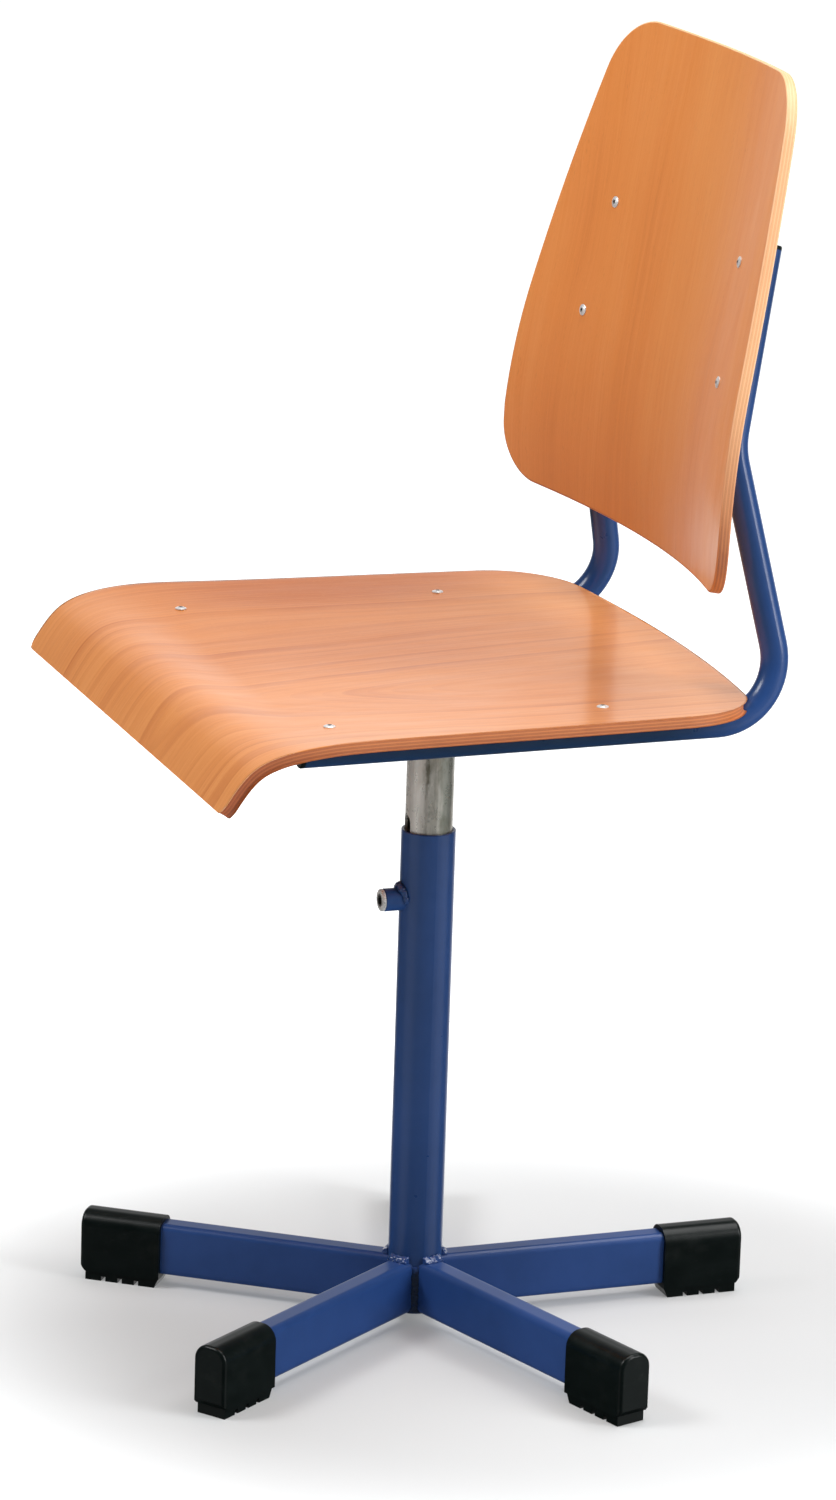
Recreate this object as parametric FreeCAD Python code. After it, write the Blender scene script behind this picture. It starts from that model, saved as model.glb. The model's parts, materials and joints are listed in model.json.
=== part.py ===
import FreeCAD, Part
import math
import os

V = FreeCAD.Vector

# ---------------------------------------------------------------------------
# Driving dimensions, millimetres. +Z up, origin on the floor under the column,
# the chair faces -Y, its left and right are +X and -X of the sitter.
# ---------------------------------------------------------------------------

# column
COL_OD = 40.0          # outer column tube
COL_ID = 36.0
COL_Z0 = 9.8           # bottom end, level with the undersides of the legs
COL_Z1 = 378.5         # rim
INNER_OD = 35.0        # sliding inner column tube
INNER_ID = 31.0
INNER_Z0 = 188.0
SLOT_W = 12.0          # lengthwise slot in the inner tube, faces the front
SLOT_Z0 = 251.0
SLOT_Z1 = 390.7

# five legs of rectangular tube
LEG_H = 40.0
LEG_W = 20.0
LEG_WALL = 2.0
LEG_RC = 5.0           # outer corner radius of the tube
LEG_Z0 = 9.8
LEG_END = 254.0        # tube end, measured from the column axis
LEG_ANGLES = {"rear": 90.0, "right_rear": 161.0, "right_front": 234.0,
              "left_front": 306.0, "left_rear": 18.0}

# plastic end caps with a ribbed foot
CAP_OUT = 258.0        # outer end, from the column axis
CAP_L = 62.5
CAP_WALL = 3.7
CAP_BODY_Z0 = 7.4      # underside of the cap body
CAP_FOOT_IN = 4.0      # foot set back from the outer end
CAP_EDGE = 3.0         # rounding of the outer end
CAP_CROWN = 11.6       # corner radius of the domed top
CAP_FOOT_SIDE = 1.8    # foot set in at the sides
GROOVE_W = 3.4
GROOVE_D = 3.6
GROOVE_PITCH = 13.0

# clamp
CLAMP_Z = 326.5
SLEEVE_D = 17.0
SLEEVE_BORE = 10.8
SLEEVE_Y = -33.5       # free end of the sleeve
SCREW_D = 10.0
HEAD_D = 16.6
HEAD_H = 2.6
HEX_AF = 7.0
SHOE_R = 15.2
SHOE_HALF_H = 12.0
SHOE_BORE = 10.1
TONGUE_W = 11.2
TONGUE_HALF = 9.0
TONGUE_R = 17.4        # reach of the tongue into the slot

# side tubes of the seat and back frame
TUBE_OD = 20.0
TUBE_ID = 16.0
TUBE_X = 170.5         # half spacing of the straight seat part
TUBE_Z = 492.1
TUBE_FALL = 0.008      # the seat part drops slightly to the front
TUBE_LEAN = 0.154      # inward lean of the tube plane, mm per mm of height
TUBE_Y0 = -157.5       # front end
BEND_Y = 206.0         # corner points of the bent path, in the tube plane
KINK_Y = 166.0
KINK_Q = 195.5
TOP_Y = 195.0
TOP_Q = 334.4
BEND_R = 45.0
KINK_R = 60.0

# cross frame under the seat
BAR_Y = 55.0
BAR_W = 25.0
BAR_H = 12.0
BAR_WALL = 1.5
BAR_Z0 = 482.4
PLATE_T = 5.0
PLATE_X = 84.0
PLATE_Y = 146.0

# plywood
PLY = 8.2
SEAT_Z = 513.6         # top of the seat along its side edges
SEAT_DISH = 8.05       # hollow at mid width, at the column
SEAT_DISH_FALL = 0.0195  # the hollow deepens to the front
SEAT_EDGE_X = 222.0
LIP_Y = -120.0         # start of the front roll
# slope of the front roll against arc length from its start
LIP_TURN = ((0.0, 0.0), (20.0, 1.4), (37.0, 3.4), (52.0, 5.6), (64.0, 8.8), (74.0, 14.0), (84.0, 22.0),
            (93.0, 34.0), (101.5, 45.5), (110.0, 52.5), (120.0, 56.5), (133.0, 58.9))
BACK_R = 740.0         # side to side radius of the backrest
BACK_Z0 = 588.0
BACK_Z1 = 945.8

# blind rivets
RIVET_HEAD = 8.4
RIVET_H = 1.7
RIVET_D = 4.8
RIVET_PIN = 3.4
SEAT_RIVET_Y = (-138.1, 63.9)
BACK_RIVET_Z = (730.6, 813.1)

os.makedirs("parts", exist_ok=True)


def save(shape, node):
    shape.exportStep("parts/%s.step" % node)


def cyl(r, h, base=V(0, 0, 0), axis=V(0, 0, 1)):
    return Part.makeCylinder(r, h, base, axis)


def rounded_bar(width, height, length, rad):
    """Bar along +X with the section width (Y) by height (Z), long edges rounded."""
    b = Part.makeBox(length, width, height, V(0, -width / 2.0, 0))
    edges = [e for e in b.Edges
             if abs(abs(e.tangentAt(e.FirstParameter).x) - 1.0) < 1e-6]
    return b.makeFillet(rad, edges)


def turned(shape, deg):
    s = shape.copy()
    s.rotate(V(0, 0, 0), V(0, 0, 1), deg)
    return s


def mirrored(shape):
    return shape.mirror(V(0, 0, 0), V(1, 0, 0))


# ---------------------------------------------------------------------------
# Column
# ---------------------------------------------------------------------------
outer = cyl(COL_OD / 2, COL_Z1 - COL_Z0, V(0, 0, COL_Z0))
outer = outer.makeChamfer(0.5, [e for e in outer.Edges if e.BoundBox.ZMin > COL_Z1 - 0.01 and e.BoundBox.XLength > 1])
outer = outer.cut(cyl(COL_ID / 2, COL_Z1 + 20, V(0, 0, 0)))
outer = outer.cut(cyl(SLEEVE_BORE / 2 + 0.6, 40, V(0, 0, CLAMP_Z), V(0, -1, 0)))
save(outer, "outer_column_tube")

PLATE_Z0 = BAR_Z0 - PLATE_T
inner = cyl(INNER_OD / 2, PLATE_Z0 - INNER_Z0, V(0, 0, INNER_Z0)).cut(
    cyl(INNER_ID / 2, PLATE_Z0 - INNER_Z0 + 2, V(0, 0, INNER_Z0 - 1)))
r = SLOT_W / 2
slot = Part.makeBox(SLOT_W, 30, SLOT_Z1 - SLOT_Z0 - 2 * r, V(-r, -30, SLOT_Z0 + r))
slot = slot.fuse(cyl(r, 30, V(0, 0, SLOT_Z0 + r), V(0, -1, 0)))
slot = slot.fuse(cyl(r, 30, V(0, 0, SLOT_Z1 - r), V(0, -1, 0)))
inner = inner.cut(slot)
save(inner, "inner_column_tube")

# ---------------------------------------------------------------------------
# Legs, end caps and leg welds
# ---------------------------------------------------------------------------
col_solid = cyl(COL_OD / 2, 700, V(0, 0, -50))
leg = rounded_bar(LEG_W, LEG_H, LEG_END, LEG_RC)
leg = leg.cut(rounded_bar(LEG_W - 2 * LEG_WALL, LEG_H - 2 * LEG_WALL, LEG_END,
                          LEG_RC - LEG_WALL).translated(V(0, 0, LEG_WALL)))
leg.translate(V(0, 0, LEG_Z0))
leg = leg.cut(col_solid)

leg_env = rounded_bar(LEG_W, LEG_H, LEG_END, LEG_RC).translated(V(0, 0, LEG_Z0))

cap_x0 = CAP_OUT - CAP_L
cap_w = LEG_W + 2 * CAP_WALL
cap_z1 = LEG_Z0 + LEG_H + CAP_WALL
body = rounded_bar(cap_w, cap_z1 + 30, CAP_L, CAP_CROWN)
body.translate(V(cap_x0, 0, -30))
body = body.common(Part.makeBox(400, 200, 200, V(0, -100, CAP_BODY_Z0)))
end_edges = [e for e in body.Edges
             if e.BoundBox.XMin > CAP_OUT - 0.01 and e.BoundBox.ZMax > CAP_BODY_Z0 + 1]
body = body.makeFillet(CAP_EDGE, end_edges)
# foot: block under the body, set back at the outer end, sloped at the inner end
fy = cap_w / 2 - CAP_FOOT_SIDE
pts = [V(cap_x0 + 0.6, 0, CAP_BODY_Z0 + 1), V(CAP_OUT - CAP_FOOT_IN, 0, CAP_BODY_Z0 + 1),
       V(CAP_OUT - CAP_FOOT_IN, 0, 0), V(cap_x0 + 4.0, 0, 0), V(cap_x0 + 0.6, 0, CAP_BODY_Z0)]
foot = Part.Face(Part.makePolygon(pts + [pts[0]])).extrude(V(0, 2 * fy, 0)).translated(V(0, -fy, 0))
foot_mid = (cap_x0 + 4.0 + CAP_OUT - CAP_FOOT_IN) / 2
for k in (-1, 0, 1):
    foot = foot.cut(Part.makeBox(GROOVE_W, 100, GROOVE_D,
                                 V(foot_mid + k * GROOVE_PITCH - GROOVE_W / 2, -50, 0)))
under = Part.Face(Part.makePolygon([V(CAP_OUT + 1, 0, CAP_BODY_Z0 + 5.6), V(CAP_OUT - CAP_FOOT_IN, 0, CAP_BODY_Z0),
                                    V(CAP_OUT - CAP_FOOT_IN, 0, CAP_BODY_Z0 - 5), V(CAP_OUT + 1, 0, CAP_BODY_Z0 - 5),
                                    V(CAP_OUT + 1, 0, CAP_BODY_Z0 + 5.6)]))
body = body.cut(under.extrude(V(0, 60, 0)).translated(V(0, -30, 0)))
cap = body.fuse(foot).removeSplitter()
cap = cap.cut(rounded_bar(LEG_W, LEG_H, LEG_END - cap_x0 + 5, LEG_RC).translated(
    V(cap_x0 - 5, 0, LEG_Z0)))

for name, ang in LEG_ANGLES.items():
    save(turned(leg, ang), "base_leg_" + name)
    save(turned(cap, ang), "leg_cap_" + name)

# weld beads: one on top of each leg against the column, one in each gap between legs
beads = []
ring_prof = Part.Face(Part.Wire([
    Part.makeLine(V(COL_OD / 2 - 2, 0, LEG_Z0 + LEG_H - 2), V(COL_OD / 2 + 4.6, 0, LEG_Z0 + LEG_H - 2)),
    Part.makeLine(V(COL_OD / 2 + 4.6, 0, LEG_Z0 + LEG_H - 2), V(COL_OD / 2 + 4.6, 0, LEG_Z0 + LEG_H)),
    Part.Arc(V(COL_OD / 2 + 4.6, 0, LEG_Z0 + LEG_H), V(COL_OD / 2 + 3.1, 0, LEG_Z0 + LEG_H + 3.1),
             V(COL_OD / 2, 0, LEG_Z0 + LEG_H + 4.6)).toShape(),
    Part.makeLine(V(COL_OD / 2, 0, LEG_Z0 + LEG_H + 4.6), V(COL_OD / 2 - 2, 0, LEG_Z0 + LEG_H + 4.6)),
    Part.makeLine(V(COL_OD / 2 - 2, 0, LEG_Z0 + LEG_H + 4.6), V(COL_OD / 2 - 2, 0, LEG_Z0 + LEG_H - 2)),
]))
ring = ring_prof.revolve(V(0, 0, 0), V(0, 0, 1), 360)
top_bead = ring.common(Part.makeBox(60, 15.0, 60, V(0, -7.5, 20))).cut(col_solid).cut(leg_env)
for ang in LEG_ANGLES.values():
    beads.append(turned(top_bead, ang))
wedge = Part.makeBox(6, 12, LEG_H - 4, V(COL_OD / 2 - 2.5, -6, LEG_Z0 + 1))
wedge = wedge.common(cyl(21.2, LEG_H, V(0, 0, LEG_Z0)))
wedge = wedge.cut(col_solid)
order = sorted(LEG_ANGLES.values())
for a, b in zip(order, order[1:] + [order[0] + 360.0]):
    w = turned(wedge, (a + b) / 2).cut(turned(leg_env, a)).cut(turned(leg_env, b))
    beads.append(max(w.Solids, key=lambda s: s.Volume))
save(Part.makeCompound(beads), "base_leg_welds")

# ---------------------------------------------------------------------------
# Clamp: welded sleeve, low round-head screw, curved nut inside the inner tube
# ---------------------------------------------------------------------------
FRONT = V(0, -1, 0)
sleeve = cyl(SLEEVE_D / 2, -SLEEVE_Y, V(0, 0, CLAMP_Z), FRONT)
sleeve = sleeve.makeChamfer(0.7, [e for e in sleeve.Edges if e.BoundBox.YMax < SLEEVE_Y + 0.01])
sleeve = sleeve.cut(cyl(SLEEVE_BORE / 2, 60, V(0, 0, CLAMP_Z), FRONT)).cut(col_solid)
save(sleeve, "clamp_sleeve")

blobs = None
for k in range(13):
    t = math.radians(-90 + 15 * k)
    rad = SLEEVE_D / 2 + 0.6
    x = rad * math.sin(t)
    z = rad * math.cos(t)
    y = -math.sqrt((COL_OD / 2) ** 2 - min(x * x, 300.0)) - 0.8
    size = 1.7 + 2.3 * max(0.0, math.cos(t)) ** 2 + 0.2 * math.cos(2.6 * (k - 6))
    s = Part.makeSphere(size, V(x, y, CLAMP_Z + z))
    blobs = s if blobs is None else blobs.fuse(s)
blobs = blobs.cut(col_solid).cut(cyl(SLEEVE_D / 2, 60, V(0, 0, CLAMP_Z), FRONT))
blobs = max(blobs.Solids, key=lambda s: s.Volume)
save(blobs, "clamp_sleeve_weld")

HEAD_Y = SLEEVE_Y - 0.1
rh = HEAD_D / 2
dome = Part.Face(Part.Wire([
    Part.makeLine(V(0, HEAD_Y, 0), V(rh - 0.3, HEAD_Y, 0)),
    Part.makeLine(V(rh - 0.3, HEAD_Y, 0), V(rh, HEAD_Y - 0.3, 0)),
    Part.makeLine(V(rh, HEAD_Y - 0.3, 0), V(rh, HEAD_Y - HEAD_H + 1.3, 0)),
    Part.Arc(V(rh, HEAD_Y - HEAD_H + 1.3, 0), V(rh - 0.38, HEAD_Y - HEAD_H + 0.38, 0), V(rh - 1.3, HEAD_Y - HEAD_H, 0)).toShape(),
    Part.makeLine(V(rh - 1.3, HEAD_Y - HEAD_H, 0), V(0, HEAD_Y - HEAD_H, 0)),
    Part.makeLine(V(0, HEAD_Y - HEAD_H, 0), V(0, HEAD_Y, 0)),
])).revolve(V(0, 0, 0), V(0, 1, 0), 360)
dome.translate(V(0, 0, CLAMP_Z))
shank = cyl(SCREW_D / 2, HEAD_Y * -1 - 2.5, V(0, HEAD_Y - 0.5, CLAMP_Z), V(0, 1, 0))
shank = shank.makeChamfer(1.0, [e for e in shank.Edges if e.BoundBox.YMin > -5.0])
hexr = HEX_AF / math.sqrt(3)
hp = [V(hexr * math.cos(math.radians(60 * i)), HEAD_Y - HEAD_H - 1, CLAMP_Z + hexr * math.sin(math.radians(60 * i)))
      for i in range(6)]
hexcut = Part.Face(Part.makePolygon(hp + [hp[0]])).extrude(V(0, 4.4, 0))
screw = dome.fuse(shank).removeSplitter().cut(hexcut)
save(screw, "clamp_screw")

shoe = cyl(SHOE_R, 2 * SHOE_HALF_H, V(0, 0, CLAMP_Z - SHOE_HALF_H))
shoe = shoe.common(Part.makeBox(22, 12, 100, V(-11, -5.2 - 12, CLAMP_Z - 50)))
tongue = Part.makeBox(TONGUE_W, 10, 2 * (TONGUE_HALF - TONGUE_W / 2), V(-TONGUE_W / 2, -18.6, CLAMP_Z - TONGUE_HALF + TONGUE_W / 2))
for s in (-1, 1):
    tongue = tongue.fuse(cyl(TONGUE_W / 2, 10, V(0, -18.6, CLAMP_Z + s * (TONGUE_HALF - TONGUE_W / 2)), V(0, 1, 0)))
tongue = tongue.common(cyl(TONGUE_R, 60, V(0, 0, CLAMP_Z - 30)))
shoe = shoe.fuse(tongue).removeSplitter()
shoe = shoe.cut(cyl(SHOE_BORE / 2, 60, V(0, 0, CLAMP_Z), FRONT))
save(shoe, "clamp_nut")

# ---------------------------------------------------------------------------
# Side tubes: one bent path in a plane that leans inward
# ---------------------------------------------------------------------------
norm = math.hypot(1.0, TUBE_LEAN)
EQ = V(-TUBE_LEAN / norm, 0, 1.0 / norm)


def plane_pt(y, q):
    return V(TUBE_X, y, TUBE_Z) + EQ * q


def corner(p0, p1, p2, rad):
    """Start, middle and end of the arc that rounds the corner p1."""
    a = (p0 - p1).normalize()
    b = (p2 - p1).normalize()
    half = math.acos(max(-1, min(1, a.dot(b)))) / 2
    t = rad / math.tan(half)
    bis = (a + b).normalize()
    c = p1 + bis * (rad / math.sin(half))
    return p1 + a * t, c - bis * rad, p1 + b * t


P0 = plane_pt(TUBE_Y0, TUBE_FALL * TUBE_Y0)
P1 = plane_pt(BEND_Y, TUBE_FALL * BEND_Y)
P2 = plane_pt(KINK_Y, KINK_Q)
P3 = plane_pt(TOP_Y, TOP_Q)
a0, a1, a2 = corner(P0, P1, P2, BEND_R)
b0, b1, b2 = corner(P1, P2, P3, KINK_R)
path = Part.Wire([Part.makeLine(P0, a0), Part.Arc(a0, a1, a2).toShape(), Part.makeLine(a2, b0),
                  Part.Arc(b0, b1, b2).toShape(), Part.makeLine(b2, P3)])


def pipe(rad):
    prof = Part.Wire([Part.makeCircle(rad, P0, P1 - P0)])
    s = path.makePipeShell([prof], True, True)
    return s


tube_full = pipe(TUBE_OD / 2)
tube = tube_full.cut(pipe(TUBE_ID / 2))
top_dir = (P3 - b2).normalize()

# ---------------------------------------------------------------------------
# Tube plugs: domed disc on the tube end, grooved stem inside the tube
# ---------------------------------------------------------------------------


def plug(at, out, grooves):
    d = V(out)
    d.normalize()
    head = cyl(TUBE_OD / 2, 3.0, at, d)
    head = head.makeFillet(1.4, [e for e in head.Edges
                                 if e.Length > 20 and (e.CenterOfMass - at).dot(d) > 2.5])
    length = 2.4 + 3.0 * grooves
    stem = cyl(TUBE_ID / 2, length, at - d * length, d)
    for k in range(grooves):
        base = at - d * (3.4 + 3.0 * k)
        stem = stem.cut(cyl(TUBE_ID / 2 + 1, 1.6, base, d).cut(cyl(TUBE_ID / 2 - 0.9, 1.6, base, d)))
    return head.fuse(stem).removeSplitter()


front_plug = plug(P0, P0 - P1, 4)
top_plug = plug(P3, top_dir, 1)
save(Part.makeCompound([front_plug, mirrored(front_plug)]), "front_tube_plugs")
save(Part.makeCompound([top_plug, mirrored(top_plug)]), "top_tube_plugs")

# ---------------------------------------------------------------------------
# Plywood panels: two spline faces and ruled edges, trimmed to the outline
# ---------------------------------------------------------------------------


def slab(grid_a, grid_b):
    fa = Part.BSplineSurface()
    fa.interpolate(grid_a)
    fb = Part.BSplineSurface()
    fb.interpolate(grid_b)
    A = fa.toShape()
    B = fb.toShape()
    faces = [A, B]

    ua0, ua1, va0, va1 = fa.bounds()
    ub0, ub1, vb0, vb1 = fb.bounds()
    faces.append(Part.makeRuledSurface(fa.uIso(ua0).toShape(), fb.uIso(ub0).toShape()))
    faces.append(Part.makeRuledSurface(fa.uIso(ua1).toShape(), fb.uIso(ub1).toShape()))
    faces.append(Part.makeRuledSurface(fa.vIso(va0).toShape(), fb.vIso(vb0).toShape()))
    faces.append(Part.makeRuledSurface(fa.vIso(va1).toShape(), fb.vIso(vb1).toShape()))
    sh = Part.makeShell(faces)
    sh.sewShape()
    so = Part.makeSolid(sh)
    if so.Volume < 0:
        so.reverse()
    return so


def smooth(t):
    t = max(0.0, min(1.0, t))
    return t * t * (3 - 2 * t)


def lip_slope(s):
    for (s0, t0), (s1, t1) in zip(LIP_TURN[:-1], LIP_TURN[1:]):
        if s <= s1:
            return math.radians(t0 + (t1 - t0) * (s - s0) / (s1 - s0))
    return math.radians(LIP_TURN[-1][1])


def fade(y, s):
    """The hollow runs out along the front roll."""
    return 1.0 - smooth((s - 28.0) / 62.0)


def seat_profile():
    """(y, z, ny, nz, hollow) along the top of the seat, from the rear to the lip."""
    rows = []
    y = 216.0
    while y > LIP_Y + 6:
        rows.append((y, SEAT_Z, 0.0, 1.0, SEAT_DISH - SEAT_DISH_FALL * y))
        y -= 16.0
    y, z, s, step = LIP_Y, SEAT_Z, 0.0, 0.5
    end = LIP_TURN[-1][0]
    k = 0
    while s <= end + 1e-6:
        t = lip_slope(s)
        if k % 14 == 0:
            rows.append((y, z, -math.sin(t), math.cos(t),
                         (SEAT_DISH - SEAT_DISH_FALL * y) * fade(y, s)))
        t = lip_slope(s + step / 2)
        y -= step * math.cos(t)
        z -= step * math.sin(t)
        s += step
        k += 1
    return rows


def seat_point(x, row, drop):
    y, z, ny, nz, hollow = row
    d = -hollow * (1 - (x / SEAT_EDGE_X) ** 2) - drop
    return V(x, y + ny * d, z + nz * d)


xs = [-246 + 41 * i for i in range(13)]
rows = seat_profile()
seat = slab([[seat_point(x, rw, 0.0) for x in xs] for rw in rows],
            [[seat_point(x, rw, PLY) for x in xs] for rw in rows])
# plan outline: sides taper to the rear, bowed rear edge, rounded rear corners
SEAT_SIDE = ((213.4, 163.5), (216.0, 115.0), (219.8, 40.0), (223.6, -50.0), (228.0, -120.0),
             (231.6, -172.0), (231.6, -210.0), (230.4, -260.0))


def seat_side(sign):
    c = Part.BSplineCurve()
    c.interpolate([V(sign * x, y, 400) for x, y in SEAT_SIDE])
    return c.toShape()


sx0, sy0 = SEAT_SIDE[-1]
sx1, sy1 = SEAT_SIDE[0]
out = Part.Wire([
    seat_side(-1),
    Part.makeLine(V(-sx0, sy0, 400), V(sx0, sy0, 400)),
    seat_side(1),
    Part.Arc(V(sx1, sy1, 400), V(0, 185.0, 400), V(-sx1, sy1, 400)).toShape(),
])
prism = Part.Face(out).extrude(V(0, 0, 200))
prism = prism.makeFillet(66.0, [e for e in prism.Edges if e.BoundBox.ZLength > 150 and e.BoundBox.YMin > 150])
seat = seat.common(prism)


def back_mid(z):
    """Front face of the backrest on the mid plane: upright below, leaning back above."""
    z_a, z_b, slope = 610.0, 740.0, 0.188
    if z <= z_a:
        return 158.0
    if z < z_b:
        return 158.0 + slope * (z - z_a) ** 2 / (2 * (z_b - z_a))
    return 158.0 + slope * (z_b - z_a) / 2 + slope * (z - z_b)


def back_slope(z):
    return (back_mid(z + 0.5) - back_mid(z - 0.5))


def back_point(x, z, drop):
    y = back_mid(z) - x * x / (2 * BACK_R)
    n = V(x / BACK_R, 1.0, -back_slope(z))
    n.normalize()
    return V(x, y, z) + n * drop


bx = [-230 + 46 * i for i in range(11)]
bz = [565 + 14.0 * i for i in range(30)]
back = slab([[back_point(x, z, 0.0) for x in bx] for z in bz],
            [[back_point(x, z, PLY) for x in bx] for z in bz])


CUT_FALL = 0.15        # the outline is cut about square to the panel


def outline_back():
    def at(x, z):
        return V(x, 0, z + CUT_FALL * back_mid(z))

    r0, r1, r2, r3 = (212.4, BACK_Z0), (213.4, 640.0), (199.8, 757.0), (154.0, BACK_Z1)
    e = [Part.makeLine(at(-r0[0], r0[1]), at(*r0)),
         Part.makeLine(at(*r0), at(*r1)),
         Part.Arc(at(*r1), at(*r2), at(*r3)).toShape(),
         Part.makeLine(at(*r3), at(-r3[0], r3[1])),
         Part.Arc(at(-r3[0], r3[1]), at(-r2[0], r2[1]), at(-r1[0], r1[1])).toShape(),
         Part.makeLine(at(-r1[0], r1[1]), at(-r0[0], r0[1]))]
    return Part.Wire(e)


bprism = Part.Face(outline_back()).extrude(V(0, 400, -400 * CUT_FALL))
long_edges = [e for e in bprism.Edges if e.BoundBox.YLength > 300]
bprism = bprism.makeFillet(40.0, [e for e in long_edges if e.BoundBox.ZMax < BACK_Z0 + 30])
long_edges = [e for e in bprism.Edges if e.BoundBox.YLength > 300]
bprism = bprism.makeFillet(60.0, [e for e in long_edges if e.BoundBox.ZMax > BACK_Z1 + 10])
back = back.common(bprism)

# the panels bed on the tubes
tubes_full = [tube_full, mirrored(tube_full)]
for t in tubes_full + [front_plug, mirrored(front_plug)]:
    seat = seat.cut(t)
for t in tubes_full + [top_plug, mirrored(top_plug)]:
    back = back.cut(t)

# ---------------------------------------------------------------------------
# Blind rivets: dome head on the ply, shank through ply and tube wall, set bulb
# ---------------------------------------------------------------------------


def rivet(at, inward):
    """Rivet whose head sits on the panel at the given point, shank going inward."""
    d = V(inward)
    d.normalize()
    reach = PLY + 2.6
    head = Part.makeSphere(RIVET_HEAD, at + d * (RIVET_HEAD - RIVET_H))
    head = head.common(cyl(RIVET_HEAD / 2, RIVET_H + 0.02, at - d * RIVET_H, d))
    s = head.fuse(cyl(RIVET_D / 2, reach, at, d))
    bulb = Part.makeCone(RIVET_D / 2, 3.3, 2.0, at + d * reach, d).fuse(
        Part.makeCone(3.3, 1.6, 3.0, at + d * (reach + 2.0), d))
    whole = s.fuse(bulb).removeSplitter()
    return whole.cut(cyl(RIVET_PIN / 2, 3.4, at - d * (RIVET_H + 0.4), d)), whole


def seat_top(x, y):
    """Point of the seat's upper face straight above the tube."""
    line = Part.makeLine(V(x, y, TUBE_Z), V(x, y, TUBE_Z + 60))
    pts = [v.Point for v in line.common(seat).Vertexes]
    return max(pts, key=lambda p: p.z)


seat_rivets = []
for sx in (-1, 1):
    for y in SEAT_RIVET_Y:
        p = seat_top(sx * TUBE_X, y)
        d = V(sx * TUBE_X, y, TUBE_Z + TUBE_FALL * y) - p
        seat_rivets.append(rivet(p, d))

back_rivets = []
for sx in (-1, 1):
    for z in BACK_RIVET_Z:
        # the shank aims from the panel face at the tube axis
        best = None
        for i in range(400):
            x = 100.0 + 0.1 * i
            f = back_point(x, z, 0.0)
            n = (back_point(x, z, 1.0) - f).normalize()
            w = P3 - f
            c = n.cross(top_dir)
            gap = abs(w.dot(c) / c.Length)
            if best is None or gap < best[0]:
                best = (gap, f, n)
        f, n = best[1], best[2]
        back_rivets.append(rivet(V(sx * f.x, f.y, f.z), V(sx * n.x, n.y, n.z)))

for rv, whole in seat_rivets:
    seat = seat.cut(whole)
for rv, whole in back_rivets:
    back = back.cut(whole)
tube_r = mirrored(tube)
for rv, whole in seat_rivets + back_rivets:
    if whole.BoundBox.XMin > 0:
        tube = tube.cut(whole)
    else:
        tube_r = tube_r.cut(whole)

save(seat, "seat_shell")
save(back, "backrest_shell")
save(Part.makeCompound([rv for rv, whole in seat_rivets]), "seat_rivets")
save(Part.makeCompound([rv for rv, whole in back_rivets]), "backrest_rivets")
save(tube, "side_tube_left")
save(tube_r, "side_tube_right")

# ---------------------------------------------------------------------------
# Cross frame: two bars between the side tubes, plate on the inner column tube
# ---------------------------------------------------------------------------


def bar(y):
    b = rounded_bar(BAR_W, BAR_H, 2 * TUBE_X, 2.0)
    b = b.cut(rounded_bar(BAR_W - 2 * BAR_WALL, BAR_H - 2 * BAR_WALL, 2 * TUBE_X, 0.6).translated(V(0, 0, BAR_WALL)))
    b.translate(V(-TUBE_X, y, BAR_Z0))
    for t in tubes_full:
        b = b.cut(t)
    b = b.common(Part.makeBox(2 * TUBE_X - 8.0, 400, 400, V(-TUBE_X + 4.0, -200, 300)))
    return max(b.Solids, key=lambda s: s.Volume)


bar_f = bar(-BAR_Y)
bar_r = bar(BAR_Y)
save(bar_f, "crossbar_front")
save(bar_r, "crossbar_rear")

plate = Part.makeBox(PLATE_X, PLATE_Y, PLATE_T, V(-PLATE_X / 2, -PLATE_Y / 2, PLATE_Z0))
plate = plate.makeFillet(12.0, [e for e in plate.Edges if e.BoundBox.ZLength > 4])
plate = plate.makeChamfer(0.6, [e for e in plate.Edges if e.BoundBox.ZMax < PLATE_Z0 + 0.01])
save(plate, "column_head_plate")

welds = []
fil = Part.Face(Part.Wire([
    Part.makeLine(V(INNER_OD / 2, 0, PLATE_Z0), V(INNER_OD / 2 + 4.5, 0, PLATE_Z0)),
    Part.Arc(V(INNER_OD / 2 + 4.5, 0, PLATE_Z0), V(INNER_OD / 2 + 2.5, 0, PLATE_Z0 - 2.5),
             V(INNER_OD / 2, 0, PLATE_Z0 - 4.5)).toShape(),
    Part.makeLine(V(INNER_OD / 2, 0, PLATE_Z0 - 4.5), V(INNER_OD / 2, 0, PLATE_Z0)),
])).revolve(V(0, 0, 0), V(0, 0, 1), 360)
welds.append(fil)
bar_env = {}
for y in (-BAR_Y, BAR_Y):
    bar_env[y] = rounded_bar(BAR_W, BAR_H, 2 * TUBE_X, 2.0).translated(V(-TUBE_X, y, BAR_Z0))
for y in (-BAR_Y, BAR_Y):
    for sx in (-1, 1):
        # bead along each side of the bar end against the tube
        for sy in (-1, 1):
            b = cyl(3.0, BAR_H - 2.4, V(sx * (TUBE_X - TUBE_OD / 2 + 0.2), y + sy * BAR_W / 2, BAR_Z0 + 1.2))
            for t in tubes_full:
                b = b.cut(t)
            b = b.cut(bar_env[y])
            welds.append(max(b.Solids, key=lambda s: s.Volume))
    for sy in (-1, 1):
        # bead along the bar on the head plate
        b = cyl(2.6, PLATE_X - 26, V(-PLATE_X / 2 + 13, y + sy * (BAR_W / 2 - 0.3), BAR_Z0 + 0.3), V(1, 0, 0))
        b = b.cut(bar_env[y]).cut(plate)
        b = b.common(Part.makeBox(400, 400, 60, V(-200, -200, BAR_Z0)))
        b = max(b.Solids, key=lambda s: s.Volume)
        welds.append(b)
save(Part.makeCompound(welds), "frame_welds")
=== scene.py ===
import bpy
import json
import math
from mathutils import Vector, Matrix

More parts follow.
